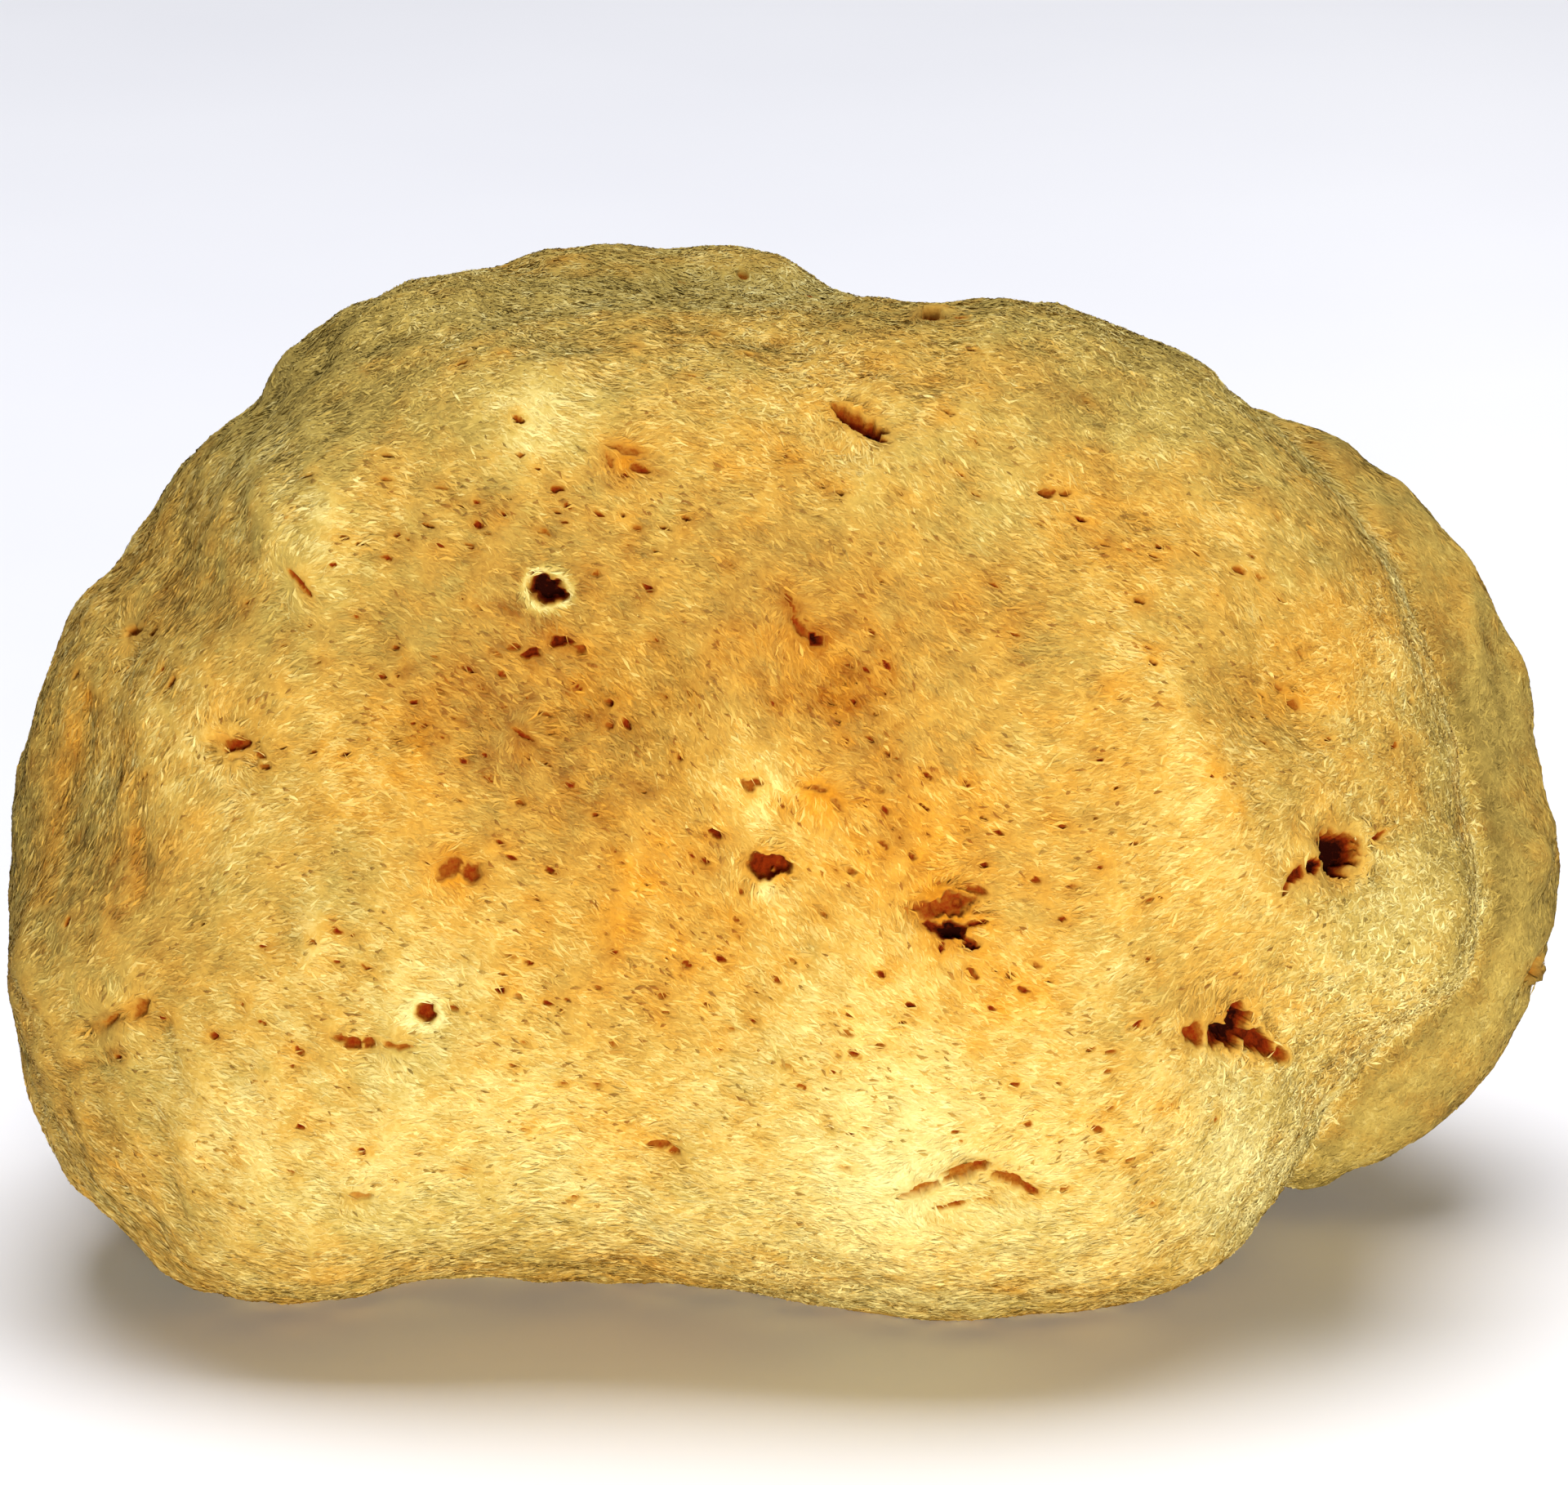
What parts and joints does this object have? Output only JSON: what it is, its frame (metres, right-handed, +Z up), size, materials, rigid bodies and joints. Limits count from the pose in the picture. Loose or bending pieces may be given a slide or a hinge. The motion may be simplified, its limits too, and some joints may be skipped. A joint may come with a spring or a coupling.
{
  "type": "sea sponge",
  "caption": "Dried natural sea sponge: a soft, lobed, golden lump with a porous face, ragged water openings and a flat cut base to rest on.",
  "frame": {"origin": "middle of the bounding box in plan, on the flat cut base", "axes": "+X along the sponge's length, to the right as its porous face is looked at; the face looks to -Y; +Z up from the base"},
  "size_m": [0.1414, 0.0941, 0.091],
  "materials": {
    "spongin": "matt, velvety fibre nap, golden with orange-brown pores"
  },
  "bodies": {
    "root": {"sponge": "spongin"}
  },
  "joints": []
}
